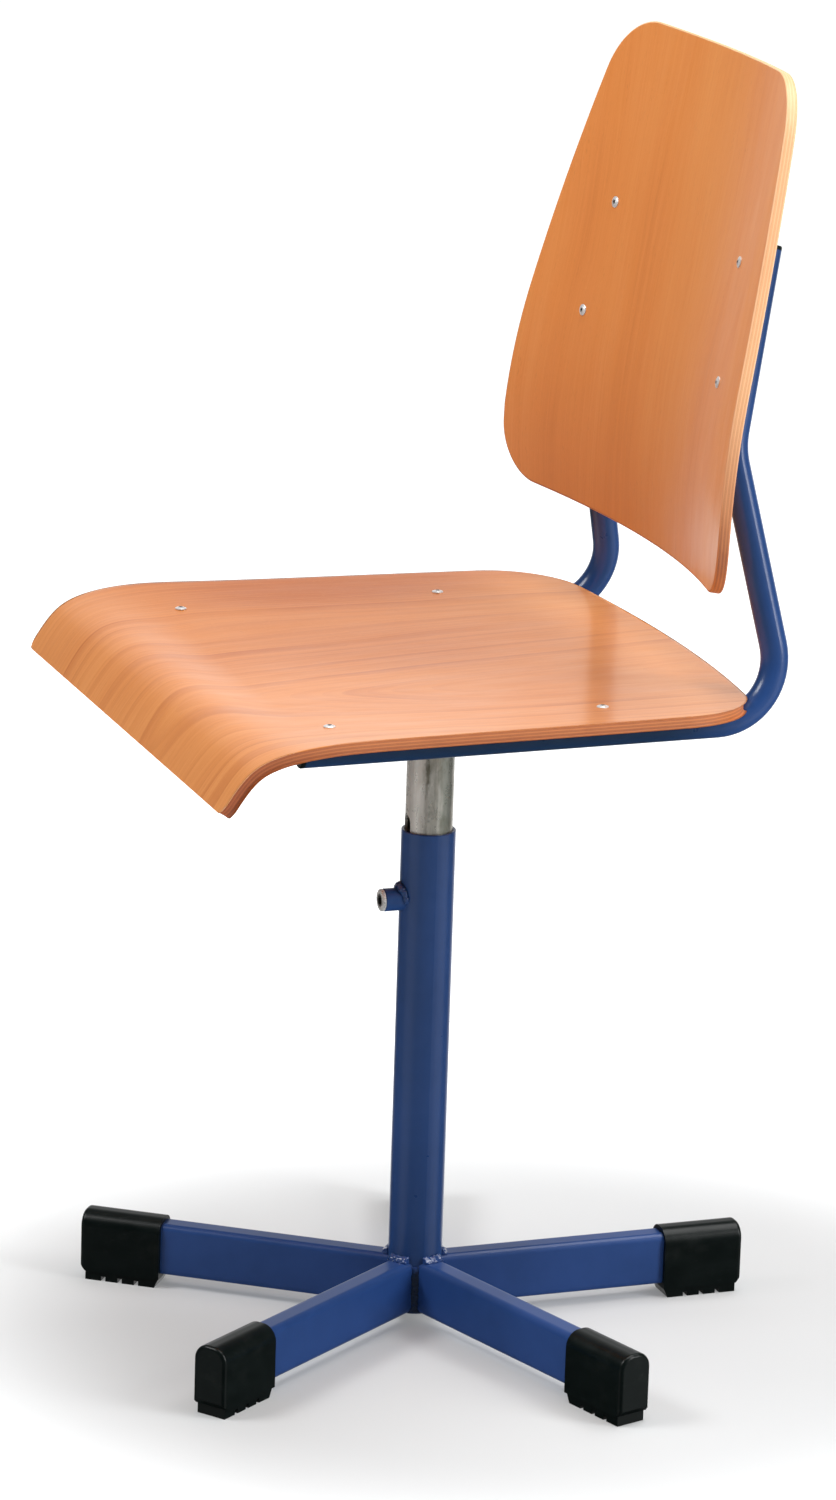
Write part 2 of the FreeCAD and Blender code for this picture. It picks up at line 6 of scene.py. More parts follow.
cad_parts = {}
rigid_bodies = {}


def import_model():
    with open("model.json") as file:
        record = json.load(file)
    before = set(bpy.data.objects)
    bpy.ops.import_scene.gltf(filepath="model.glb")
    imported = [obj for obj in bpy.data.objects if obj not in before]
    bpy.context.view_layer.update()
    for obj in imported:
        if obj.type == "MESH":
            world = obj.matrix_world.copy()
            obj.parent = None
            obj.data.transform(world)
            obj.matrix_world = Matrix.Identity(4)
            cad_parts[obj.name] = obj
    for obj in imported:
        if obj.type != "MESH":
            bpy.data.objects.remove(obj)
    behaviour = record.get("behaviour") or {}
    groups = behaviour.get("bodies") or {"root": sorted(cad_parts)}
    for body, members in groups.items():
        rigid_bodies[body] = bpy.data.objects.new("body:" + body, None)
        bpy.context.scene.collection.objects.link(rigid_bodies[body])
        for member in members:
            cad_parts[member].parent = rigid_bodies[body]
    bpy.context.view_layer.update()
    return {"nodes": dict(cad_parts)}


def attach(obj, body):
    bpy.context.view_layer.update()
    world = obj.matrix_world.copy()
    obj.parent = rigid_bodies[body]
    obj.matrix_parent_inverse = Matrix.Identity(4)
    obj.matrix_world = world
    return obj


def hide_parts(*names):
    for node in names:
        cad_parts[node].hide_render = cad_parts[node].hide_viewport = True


for o in list(bpy.data.objects):
    bpy.data.objects.remove(o)

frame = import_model()
NODES = frame["nodes"]
MM = 0.001

# ---------------------------------------------------------------------------
# Small helpers: shader nodes, meshes, noise
# ---------------------------------------------------------------------------


class Shader:
    """A material with a node tree, and short calls to add nodes to it."""

    def __init__(self, name):
        self.mat = bpy.data.materials.new(name)
        self.mat.use_nodes = True
        self.nt = self.mat.node_tree
        self.nt.nodes.clear()
        self.out = self.nt.nodes.new("ShaderNodeOutputMaterial")
        self.bsdf = self.nt.nodes.new("ShaderNodeBsdfPrincipled")
        self.nt.links.new(self.bsdf.outputs[0], self.out.inputs["Surface"])

    def set(self, **values):
        for k, v in values.items():
            s = self.bsdf.inputs[k.replace("_", " ")]
            if isinstance(v, bpy.types.NodeSocket):
                self.nt.links.new(v, s)
            else:
                s.default_value = v

    def node(self, kind, ins=None, **props):
        n = self.nt.nodes.new(kind)
        for k, v in props.items():
            setattr(n, k, v)
        for k, v in (ins or {}).items():
            s = n.inputs[k]
            if isinstance(v, bpy.types.NodeSocket):
                self.nt.links.new(v, s)
            else:
                s.default_value = v
        return n

    def math(self, op, a, b=0.0, c=0.0, clamp=False):
        n = self.node("ShaderNodeMath", {0: a, 1: b, 2: c}, operation=op, use_clamp=clamp)
        return n.outputs[0]

    def vmath(self, op, a, b=(0, 0, 0)):
        n = self.node("ShaderNodeVectorMath", {0: a, 1: b}, operation=op)
        return n.outputs[0]

    def attr(self, name):
        return self.node("ShaderNodeAttribute", attribute_name=name).outputs["Vector"]

    def obj(self):
        return self.node("ShaderNodeTexCoord").outputs["Object"]

    def split(self, v):
        n = self.node("ShaderNodeSeparateXYZ", {0: v})
        return n.outputs[0], n.outputs[1], n.outputs[2]

    def join(self, x, y, z):
        return self.node("ShaderNodeCombineXYZ", {0: x, 1: y, 2: z}).outputs[0]

    def scale(self, v, s):
        return self.node("ShaderNodeVectorMath", {0: v, 1: s}, operation="MULTIPLY").outputs[0]

    def noise(self, v, scale, detail=2.0, rough=0.5, distort=0.0, color=False):
        n = self.node("ShaderNodeTexNoise", {"Vector": v, "Scale": scale, "Detail": detail,
                                             "Roughness": rough, "Distortion": distort})
        return n.outputs["Color" if color else "Fac"]

    def voronoi(self, v, scale, feature="F1", out="Distance", rand=1.0):
        n = self.node("ShaderNodeTexVoronoi", {"Vector": v, "Scale": scale, "Randomness": rand}, feature=feature)
        return n.outputs[out]

    def ramp(self, fac, stops, mode="LINEAR"):
        n = self.node("ShaderNodeValToRGB", {0: fac})
        n.color_ramp.interpolation = mode
        e = n.color_ramp.elements
        while len(e) < len(stops):
            e.new(0.5)
        for el, (p, c) in zip(e, stops):
            el.position = p
            el.color = tuple(c) + (1.0,) if len(c) == 3 else c
        return n.outputs[0]

    def span(self, v, a, b, c=0.0, d=1.0, clamp=True, smooth=False):
        n = self.node("ShaderNodeMapRange", {0: v, 1: a, 2: b, 3: c, 4: d}, clamp=clamp,
                      interpolation_type="SMOOTHSTEP" if smooth else "LINEAR")
        return n.outputs[0]

    def mix(self, fac, a, b, mode="MIX"):
        n = self.node("ShaderNodeMix", data_type="RGBA", blend_type=mode)
        for i, v in ((0, fac), (6, a), (7, b)):
            if isinstance(v, bpy.types.NodeSocket):
                self.nt.links.new(v, n.inputs[i])
            else:
                n.inputs[i].default_value = v if i == 0 else (tuple(v) + (1.0,) if len(v) == 3 else v)
        return n.outputs[2]

    def bump(self, height, strength, distance, normal=None):
        ins = {"Height": height, "Strength": strength, "Distance": distance}
        if normal is not None:
            ins["Normal"] = normal
        return self.node("ShaderNodeBump", ins).outputs[0]


def srgb(r, g, b):
    def f(c):
        c = c / 255.0
        return c / 12.92 if c <= 0.04045 else ((c + 0.055) / 1.055) ** 2.4
    return (f(r), f(g), f(b))


def new_object(name, verts, faces, mats, body, smooth=True, index=None):
    me = bpy.data.meshes.new(name)
    me.from_pydata([tuple(v) for v in verts], [], faces)
    for m in mats:
        me.materials.append(m)
    if index is not None:
        me.polygons.foreach_set("material_index", index)
    me.polygons.foreach_set("use_smooth", [bool(smooth)] * len(me.polygons))
    me.update()
    ob = bpy.data.objects.new(name, me)
    bpy.context.scene.collection.objects.link(ob)
    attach(ob, body)
    return ob


def smoothstep(t):
    t = max(0.0, min(1.0, t))
    return t * t * (3 - 2 * t)


def wave_noise(x, seed):
    """Smooth repeatable wobble between about -1 and 1."""
    return (math.sin(1.0 * x + 1.7 * seed) + 0.6 * math.sin(2.3 * x + 4.1 * seed) + 0.4 * math.sin(5.1 * x + 2.9 * seed)) / 2.0


# ---------------------------------------------------------------------------
# Dimensions that the visual meshes share with the model, millimetres
# ---------------------------------------------------------------------------
PLY = 8.2
EASE = 1.5
SEAT_Z = 513.6
SEAT_DISH = 8.05
SEAT_DISH_FALL = 0.0195
SEAT_EDGE_X = 222.0
LIP_Y = -120.0
LIP_TURN = ((0.0, 0.0), (20.0, 1.4), (37.0, 3.4), (52.0, 5.6), (64.0, 8.8), (74.0, 14.0), (84.0, 22.0),
            (93.0, 34.0), (101.5, 45.5), (110.0, 52.5), (120.0, 56.5), (133.0, 58.9))
SEAT_SIDE = ((213.4, 163.5), (216.0, 115.0), (219.8, 40.0), (223.6, -50.0), (228.0, -120.0),
             (231.6, -172.0), (231.6, -210.0), (230.4, -260.0))
REAR_Y = 185.0
SEAT_CORNER = 66.0
LIP_CORNER = 9.0
BACK_R = 740.0
BACK_Z0 = 588.0
BACK_Z1 = 945.8
CUT_FALL = 0.15

# ---------------------------------------------------------------------------
# Panel builder: an outline in the panel's own flat coordinates, a function that
# carries flat coordinates and depth into space, eased edges, separate edge band
# ---------------------------------------------------------------------------


def resample(pts, n):
    d = [0.0]
    for a, b in zip(pts[:-1], pts[1:]):
        d.append(d[-1] + math.hypot(b[0] - a[0], b[1] - a[1]))
    out, j = [], 0
    for i in range(n + 1):
        t = d[-1] * i / n
        while j < len(d) - 2 and d[j + 1] < t:
            j += 1
        f = (t - d[j]) / max(1e-9, d[j + 1] - d[j])
        out.append((pts[j][0] + f * (pts[j + 1][0] - pts[j][0]), pts[j][1] + f * (pts[j + 1][1] - pts[j][1])))
    return out


def build_panel(name, sides, place, mats, body, nodes, n, m, holes=()):
    """sides: front, right, rear, left polylines, head to tail, anticlockwise seen from the face."""
    counts = (n, m, n, m)
    loop = []
    for s, c in zip(sides, counts):
        loop += resample(s, c)[:-1]
    N = len(loop)
    normal = []
    for i in range(N):
        (x0, y0), (x1, y1) = loop[i - 1], loop[(i + 1) % N]
        l = math.hypot(x1 - x0, y1 - y0)
        normal.append(((y1 - y0) / l, -(x1 - x0) / l))
    run = [0.0]
    for i in range(N):
        a, b = loop[i], loop[(i + 1) % N]
        run.append(run[-1] + math.hypot(b[0] - a[0], b[1] - a[1]))

    def ring(inset):
        return [(p[0] - q[0] * inset, p[1] - q[1] * inset) for p, q in zip(loop, normal)]

    def coons(r):
        f, rt, re, lf = r[0:n + 1], r[n:n + m + 1], r[n + m:2 * n + m + 1], [r[(2 * n + m + i) % N] for i in range(m + 1)]
        T, L = re[::-1], lf[::-1]
        g = []
        for j in range(m + 1):
            v = j / m
            row = []
            for i in range(n + 1):
                u = i / n
                pt = []
                for k in (0, 1):
                    pt.append((1 - v) * f[i][k] + v * T[i][k] + (1 - u) * L[j][k] + u * rt[j][k]
                              - ((1 - u) * (1 - v) * f[0][k] + u * (1 - v) * f[n][k] + u * v * T[n][k] + (1 - u) * v * T[0][k]))
                row.append(tuple(pt))
            g.append(row)
        return g

    def loop_ids(grid):
        ids = [grid[0][i] for i in range(n)] + [grid[j][n] for j in range(m)]
        ids += [grid[m][n - i] for i in range(n)] + [grid[m - j][0] for j in range(m)]
        return ids

    verts, grain, faces, index, along = [], [], [], [], []

    def add(p, drop):
        verts.append(Vector(place(p[0], p[1], drop)) * MM)
        grain.append((p[0] * MM, p[1] * MM, drop * MM))
        return len(verts) - 1

    inner = EASE + 1.0
    tops = []
    for drop in (0.0, PLY):
        g2 = coons(ring(inner))
        tops.append([[add(p, drop) for p in row] for row in g2])
    for j in range(m):
        for i in range(n):
            a = tops[0]
            faces.append((a[j][i], a[j][i + 1], a[j + 1][i + 1], a[j + 1][i]))
            b = tops[1]
            faces.append((b[j][i], b[j + 1][i], b[j + 1][i + 1], b[j][i + 1]))
            index += [0, 0]
            along += [((0, 0, 0),) * 4] * 2
    prof = [(EASE, 0.0)]
    for k in range(1, 4):
        t = math.pi / 2 * k / 4
        prof.append((EASE * (1 - math.sin(t)), EASE * (1 - math.cos(t))))
    prof.append((0.0, EASE))
    for k in range(1, 6):
        prof.append((0.0, EASE + (PLY - 2 * EASE) * k / 6))
    prof += [(i, PLY - d) for i, d in prof[4::-1]]
    rings = [(loop_ids(tops[0]), 0.0)]
    for inset, drop in prof:
        r = ring(inset)
        rings.append(([add(p, drop) for p in r], drop))
    rings.append((loop_ids(tops[1]), PLY))
    for k in range(len(rings) - 1):
        (ra, da), (rb, db) = rings[k], rings[k + 1]
        face_band = k == 0 or k == len(rings) - 2
        for i in range(N):
            j = (i + 1) % N
            faces.append((ra[i], rb[i], rb[j], ra[j]))
            index.append(0 if face_band else 1)
            s0, s1 = run[i] * MM, run[i + 1] * MM
            along.append(((s0, da * MM, 0), (s0, db * MM, 0), (s1, db * MM, 0), (s1, da * MM, 0)))
    ob = new_object(name, verts, faces, mats, body, True, index)
    me = ob.data
    a = me.attributes.new("grain", "FLOAT_VECTOR", "POINT")
    a.data.foreach_set("vector", [c for g in grain for c in g])
    a = me.attributes.new("along", "FLOAT_VECTOR", "CORNER")
    a.data.foreach_set("vector", [c for f in along for v in f for c in v])
    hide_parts(*nodes)
    return ob


# --- seat: flat coordinates are x and s, s = length along the middle from the rear ---
def cubic(points):
    """Natural cubic spline y -> x through (x, y) points in falling y."""
    ys = [-p[1] for p in points]
    xs = [p[0] for p in points]
    k = len(ys)
    h = [ys[i + 1] - ys[i] for i in range(k - 1)]
    al = [0.0] * k
    for i in range(1, k - 1):
        al[i] = 3 * ((xs[i + 1] - xs[i]) / h[i] - (xs[i] - xs[i - 1]) / h[i - 1])
    l, mu, z = [1.0] + [0.0] * (k - 1), [0.0] * k, [0.0] * k
    for i in range(1, k - 1):
        l[i] = 2 * (ys[i + 1] - ys[i - 1]) - h[i - 1] * mu[i - 1]
        mu[i] = h[i] / l[i]
        z[i] = (al[i] - h[i - 1] * z[i - 1]) / l[i]
    c = [0.0] * k
    b, d = [0.0] * (k - 1), [0.0] * (k - 1)
    for j in range(k - 2, -1, -1):
        c[j] = z[j] - mu[j] * c[j + 1]
        b[j] = (xs[j + 1] - xs[j]) / h[j] - h[j] * (c[j + 1] + 2 * c[j]) / 3
        d[j] = (c[j + 1] - c[j]) / (3 * h[j])

    def at(y):
        t = -y
        j = 0
        while j < k - 2 and t > ys[j + 1]:
            j += 1
        q = t - ys[j]
        return xs[j] + b[j] * q + c[j] * q * q + d[j] * q ** 3
    return at


def lip_slope(s):
    for (s0, t0), (s1, t1) in zip(LIP_TURN[:-1], LIP_TURN[1:]):
        if s <= s1:
            return math.radians(t0 + (t1 - t0) * (s - s0) / (s1 - s0))
    return math.radians(LIP_TURN[-1][1])


REAR_S = 216.0
FLAT = REAR_S - LIP_Y
LIP = [(LIP_Y, SEAT_Z)]
_step = 0.25
for _k in range(int(LIP_TURN[-1][0] / _step)):
    _t = lip_slope((_k + 0.5) * _step)
    LIP.append((LIP[-1][0] - _step * math.cos(_t), LIP[-1][1] - _step * math.sin(_t)))
SEAT_END = FLAT + LIP_TURN[-1][0]


def seat_row(s):
    """y, z and normal of the seat's side line, and the depth of its hollow."""
    if s <= FLAT:
        y = REAR_S - s
        return y, SEAT_Z, 0.0, 1.0, SEAT_DISH - SEAT_DISH_FALL * y
    q = min(s - FLAT, LIP_TURN[-1][0])
    i = min(int(q / _step), len(LIP) - 2)
    f = q / _step - i
    y = LIP[i][0] + f * (LIP[i + 1][0] - LIP[i][0])
    z = LIP[i][1] + f * (LIP[i + 1][1] - LIP[i][1])
    # the turn is evened out over a few millimetres so that the roll has no creases
    t = sum(lip_slope(max(0.0, min(LIP_TURN[-1][0], q + o))) for o in (-6, -4, -2, 0, 2, 4, 6)) / 7.0
    fade = 1.0 - smoothstep((q - 28.0) / 62.0)
    return y, z, -math.sin(t), math.cos(t), (SEAT_DISH - SEAT_DISH_FALL * y) * fade


def seat_place(x, s, drop):
    y, z, ny, nz, hollow = seat_row(s)
    d = -hollow * (1 - (x / SEAT_EDGE_X) ** 2) - drop
    return (x, y + ny * d, z + nz * d)


seat_half = cubic(SEAT_SIDE)


def seat_outline():
    sag = REAR_Y - SEAT_SIDE[0][1]
    R = (SEAT_SIDE[0][0] ** 2 + sag ** 2) / (2 * sag)
    yc = REAR_Y - R
    side = [(seat_half(y * 0.5), y * 0.5) for y in range(327, -480, -1)]
    lo, hi = 60.0, REAR_Y - SEAT_CORNER - 0.01
    for _ in range(60):
        cy = (lo + hi) / 2
        cx = math.sqrt((R - SEAT_CORNER) ** 2 - (cy - yc) ** 2)
        near = min(math.hypot(p[0] - cx, p[1] - cy) for p in side)
        if near > SEAT_CORNER:
            hi = cy
        else:
            lo = cy
    tang = min(side, key=lambda p: math.hypot(p[0] - cx, p[1] - cy))
    a0 = math.atan2(tang[1] - cy, tang[0] - cx)
    a1 = math.atan2(cy - yc, cx)
    half = []
    # front edge, from the middle to the corner, then the side, the corner and the rear
    w = seat_half(seat_row(SEAT_END - LIP_CORNER)[0])
    for i in range(200):
        half.append(((w - LIP_CORNER) * i / 200.0, SEAT_END))
    for i in range(25):
        t = math.pi / 2 * i / 24
        half.append((w - LIP_CORNER + LIP_CORNER * math.sin(t), SEAT_END - LIP_CORNER + LIP_CORNER * math.cos(t)))
        if i == 12:
            c_front = len(half) - 1
    s = SEAT_END - LIP_CORNER - 1.0
    while REAR_S - s < tang[1] and (seat_row(s)[0] < tang[1] - 0.5):
        half.append((seat_half(seat_row(s)[0]), s))
        s -= 1.0
    for i in range(61):
        t = a0 + (a1 - a0) * i / 60
        half.append((cx + SEAT_CORNER * math.cos(t), REAR_S - (cy + SEAT_CORNER * math.sin(t))))
        if i == 30:
            c_rear = len(half) - 1
    b0 = math.atan2(half[-1][0], REAR_S - half[-1][1] - yc)
    for i in range(1, 201):
        t = b0 * (1 - i / 200.0)
        half.append((R * math.sin(t), REAR_S - (yc + R * math.cos(t))))
    return half, c_front, c_rear


def mirror(pts):
    return [(-x, s) for x, s in pts]


def four_sides(half, c0, c1, flip):
    """Front, right, rear and left runs of the closed outline, head to tail."""
    front = mirror(half[:c0 + 1])[::-1] + half[1:c0 + 1]
    right = half[c0:c1 + 1]
    rear = half[c1:] + mirror(half[c1:])[::-1][1:]
    left = mirror(half[c0:c1 + 1])[::-1]
    return [front, right, rear, left]


# --- backrest: flat coordinates are x and z ---
def back_mid(z):
    z_a, z_b, slope = 610.0, 740.0, 0.188
    if z <= z_a:
        return 158.0
    if z < z_b:
        return 158.0 + slope * (z - z_a) ** 2 / (2 * (z_b - z_a))
    return 158.0 + slope * (z_b - z_a) / 2 + slope * (z - z_b)


def back_place(x, z, drop):
    z = z + CUT_FALL * (x * x / (2 * BACK_R) - drop)
    sl = back_mid(z + 0.5) - back_mid(z - 0.5)
    n = Vector((x / BACK_R, 1.0, -sl)).normalized()
    return tuple(Vector((x, back_mid(z) - x * x / (2 * BACK_R), z)) + n * drop)


def circle3(a, b, c):
    ax, ay, bx, by, cx, cy = *a, *b, *c
    d = 2 * (ax * (by - cy) + bx * (cy - ay) + cx * (ay - by))
    ux = ((ax * ax + ay * ay) * (by - cy) + (bx * bx + by * by) * (cy - ay) + (cx * cx + cy * cy) * (ay - by)) / d
    uy = ((ax * ax + ay * ay) * (cx - bx) + (bx * bx + by * by) * (ax - cx) + (cx * cx + cy * cy) * (bx - ax)) / d
    return ux, uy, math.hypot(ax - ux, ay - uy)


def round_corner(pts, i, r):
    """Replace the corner pts[i] of a dense polyline by an arc of radius r."""
    p = Vector(pts[i])
    a = (Vector(pts[i - 4]) - p).normalized()
    b = (Vector(pts[i + 4]) - p).normalized()
    half = math.acos(max(-1.0, min(1.0, a.dot(b)))) / 2
    t = r / math.tan(half)
    # tangent points are looked up along the real lines
    def walk(step):
        j, d = i, 0.0
        while d < t and 0 < j < len(pts) - 1:
            d += (Vector(pts[j + step]) - Vector(pts[j])).length
            j += step
        return j
    j0, j1 = walk(-1), walk(1)
    q0, q1 = Vector(pts[j0]), Vector(pts[j1])
    out = []
    for k in range(41):
        u = k / 40.0
        # rational quadratic arc with the corner as its control point
        w = math.cos(math.pi / 2 - half)
        den = (1 - u) ** 2 + 2 * u * (1 - u) * w + u * u
        out.append(tuple(((1 - u) ** 2 * q0 + 2 * u * (1 - u) * w * p + u * u * q1) / den))
    return pts[:j0] + out + pts[j1 + 1:], j0 + 20


def back_outline():
    r0, r1, r2, r3 = (212.4, BACK_Z0), (213.4, 640.0), (199.8, 757.0), (154.0, BACK_Z1)
    ux, uy, R = circle3(r1, r2, r3)
    half = [(r0[0] * i / 220.0, BACK_Z0) for i in range(220)]
    c0 = len(half)
    half += [(r0[0] + (r1[0] - r0[0]) * i / 60.0, r0[1] + (r1[1] - r0[1]) * i / 60.0) for i in range(60)]
    a0 = math.atan2(r1[1] - uy, r1[0] - ux)
    a1 = math.atan2(r3[1] - uy, r3[0] - ux)
    half += [(ux + R * math.cos(a0 + (a1 - a0) * i / 300.0), uy + R * math.sin(a0 + (a1 - a0) * i / 300.0)) for i in range(300)]
    c1 = len(half)
    half += [(r3[0] * (1 - i / 160.0), BACK_Z1) for i in range(161)]
    half, k1 = round_corner(half, c1, 60.0)
    half, k0 = round_corner(half, c0, 40.0)
    return half, k0


# ---------------------------------------------------------------------------
# Materials
# ---------------------------------------------------------------------------


def veneer(name, pale, mid, deep, seed, pith, cone, spacing, ring_depth, streaks, stripe, coat, shade=()):
    """Lacquered beech face veneer. Grain coordinates: across, along, depth."""
    m = Shader(name)
    g0 = m.attr("grain")
    g = m.vmath("ADD", g0, (seed * 1.37, seed * 0.61, 0.0))
    x, s, d = m.split(g0)

    def centred(v, k):
        return m.math("MULTIPLY", m.math("SUBTRACT", v, 0.5), k)

    # slow wander of the fibres
    w1 = m.noise(m.scale(g, (4.2, 1.5, 1.0)), 1.0, 2.0, 0.5)
    w2 = m.noise(m.scale(g, (26.0, 4.5, 1.0)), 1.0, 2.0, 0.5)
    w3 = m.noise(m.scale(g, (120.0, 16.0, 1.0)), 1.0, 1.0, 0.5)
    xw = m.math("ADD", x, m.math("ADD", centred(w1, 0.085), m.math("ADD", centred(w2, 0.013), centred(w3, 0.0022))))
    # growth rings of a slightly conical log, cut off its centre
    h = m.math("ADD", pith[1], m.math("MULTIPLY", s, cone))
    h = m.math("ADD", h, centred(w1, 0.07))
    dx = m.math("SUBTRACT", xw, pith[0])
    f = m.math("SQRT", m.math("ADD", m.math("MULTIPLY", dx, dx), m.math("MULTIPLY", h, h)))
    uneven = m.noise(m.join(m.math("MULTIPLY", f, 38.0), seed * 3.0, 0.0), 1.0, 2.0, 0.6)
    ph = m.math("ADD", m.math("MULTIPLY", f, 1.0 / spacing), m.math("MULTIPLY", uneven, 3.4))
    saw = m.math("FRACT", ph)
    late = m.math("MULTIPLY", m.span(saw, 0.35, 0.93, 0.0, 1.0, smooth=True), m.span(saw, 0.93, 1.0, 1.0, 0.0))
    which = m.noise(m.join(m.math("FLOOR", ph), seed * 7.0, 0.5), 1.0, 0.0)
    fade = m.noise(m.scale(g, (14.0, 5.0, 1.0)), 1.0, 2.0, 0.5)
    late = m.math("MULTIPLY", late, m.math("MULTIPLY", m.span(which, 0.36, 0.66, 0.04, 1.0), m.span(fade, 0.30, 0.64, 0.12, 1.0)))
    saw2 = m.math("FRACT", m.math("MULTIPLY", ph, 3.0))
    fine_ring = m.span(saw2, 0.2, 0.95, 0.0, 1.0, smooth=True)
    # fibres, broad bands, pores and ray flecks
    gx = m.join(xw, s, d)
    fib = m.noise(m.scale(gx, (560.0, 8.0, 60.0)), 1.0, 3.0, 0.65)
    streak = m.noise(m.scale(gx, (95.0, 2.2, 1.0)), 1.0, 3.0, 0.6)
    band = m.noise(m.scale(m.join(xw, m.math("MULTIPLY", s, 0.35), 0.0), (15.0, 1.1, 1.0)), 1.0, 1.0, 0.4)
    broad = m.noise(m.scale(g, (6.0, 3.4, 1.0)), 1.0, 2.0, 0.5)
    pore = m.span(m.voronoi(m.scale(gx, (1300.0, 105.0, 40.0)), 1.0), 0.05, 0.24, 1.0, 0.0)
    gate = m.noise(m.scale(gx, (200.0, 22.0, 20.0)), 1.0, 2.0, 0.5)
    pore = m.math("MULTIPLY", pore, m.span(gate, 0.44, 0.62))
    fleck = m.span(m.voronoi(m.scale(gx, (640.0, 170.0, 20.0)), 1.0), 0.08, 0.30, 1.0, 0.0)
    tone = m.math("ADD", m.math("MULTIPLY", late, ring_depth), m.math("MULTIPLY", fine_ring, ring_depth * 0.22))
    tone = m.math("ADD", tone, m.math("ADD", centred(fib, 0.40), centred(streak, streaks)))
    tone = m.math("ADD", tone, m.math("ADD", centred(band, stripe), centred(broad, 0.40)))
    # painted shade: each patch (x, s, reach across, reach along, depth) darkens the veneer's tone softly about its
    # centre
    for sx, ss, rx, rs, k in shade:
        q = m.join(m.math("MULTIPLY", m.math("SUBTRACT", x, sx), 1.0 / rx), m.math("MULTIPLY", m.math("SUBTRACT", s, ss), 1.0 / rs), 0.0)
        q = m.node("ShaderNodeVectorMath", {0: q}, operation="LENGTH").outputs["Value"]
        tone = m.math("ADD", tone, m.span(q, 0.25, 1.0, k, 0.0, smooth=True))
    tone = m.math("ADD", tone, 0.33, clamp=True)
    col = m.ramp(tone, [(0.0, pale), (0.42, mid), (1.0, deep)])
    dark = tuple(c * 0.50 for c in deep)
    light = tuple(min(1.0, c * 1.14) for c in pale)
    col = m.mix(m.math("MULTIPLY", fleck, 0.13), col, light)
    col = m.mix(m.math("MULTIPLY", pore, 0.46), col, dark)
    rough = m.span(m.noise(m.scale(gx, (60.0, 14.0, 1.0)), 1.0, 3.0, 0.6), 0.3, 0.7, 0.34, 0.46)
    hgt = m.math("SUBTRACT", m.math("MULTIPLY", fib, 0.5), m.math("MULTIPLY", pore, 0.9))
    m.set(Base_Color=col, Roughness=rough, Specular_IOR_Level=0.4, Coat_Weight=coat, Coat_Roughness=0.17,
          Coat_IOR=1.5, Normal=m.bump(hgt, 0.14, 0.0002))
    return m.mat


def ply_edge(name, light, dark, low=None):
    """Cut edge of the glued veneers: layers in depth, grain along the cut, end grain in every other layer."""
    m = Shader(name)
    a = m.attr("along")
    t, d, _ = m.split(a)
    wob = m.noise(m.scale(a, (40.0, 0.0, 0.0)), 1.0, 2.0, 0.5)
    q = m.math("ADD", m.math("MULTIPLY", d, 7.0 / 0.0082), m.math("MULTIPLY", m.math("SUBTRACT", wob, 0.5), 0.22))
    saw = m.math("FRACT", q)
    cell = m.math("FLOOR", q)
    odd = m.math("MODULO", cell, 2.0)
    glue = m.math("MAXIMUM", m.span(saw, 0.0, 0.10, 1.0, 0.0), m.span(saw, 0.92, 1.0, 0.0, 1.0))
    lengthw = m.noise(m.join(m.math("MULTIPLY", t, 120.0), m.math("MULTIPLY", d, 4000.0), cell), 1.0, 3.0, 0.6)
    endg = m.voronoi(m.join(m.math("MULTIPLY", t, 2600.0), m.math("MULTIPLY", d, 2600.0), 0.0), 1.0)
    tone = m.node("ShaderNodeMix", {0: odd, 2: lengthw, 3: m.span(endg, 0.0, 0.6, 0.95, 0.35)}, data_type="FLOAT").outputs[0]
    tone = m.math("ADD", m.math("MULTIPLY", tone, 0.55), m.math("MULTIPLY", odd, 0.36), clamp=True)
    col = m.mix(tone, light, dark)
    # painted shade: towards one end of the panel the edge takes darker colours, at the seat's lip and at the foot of
    # the backrest
    if low:
        up = m.span(m.split(m.attr("grain"))[1], low[0], low[1], 0.0, 1.0, smooth=True)
        col = m.mix(up, m.mix(tone, low[2], low[3]), col)
    stain = m.noise(m.scale(a, (18.0, 60.0, 0.0)), 1.0, 3.0, 0.6)
    col = m.mix(m.math("MULTIPLY", m.span(stain, 0.5, 0.75), 0.35), col, dark)
    col = m.mix(m.math("MULTIPLY", glue, 0.55), col, tuple(c * 0.35 for c in dark))
    hgt = m.math("SUBTRACT", m.math("MULTIPLY", m.math("SUBTRACT", 1.0, tone), 0.6), m.math("MULTIPLY", glue, 0.8))
    m.set(Base_Color=col, Roughness=m.span(stain, 0.3, 0.7, 0.42, 0.6), Coat_Weight=0.15, Coat_Roughness=0.3,
          Normal=m.bump(hgt, 0.35, 0.0002))
    return m.mat


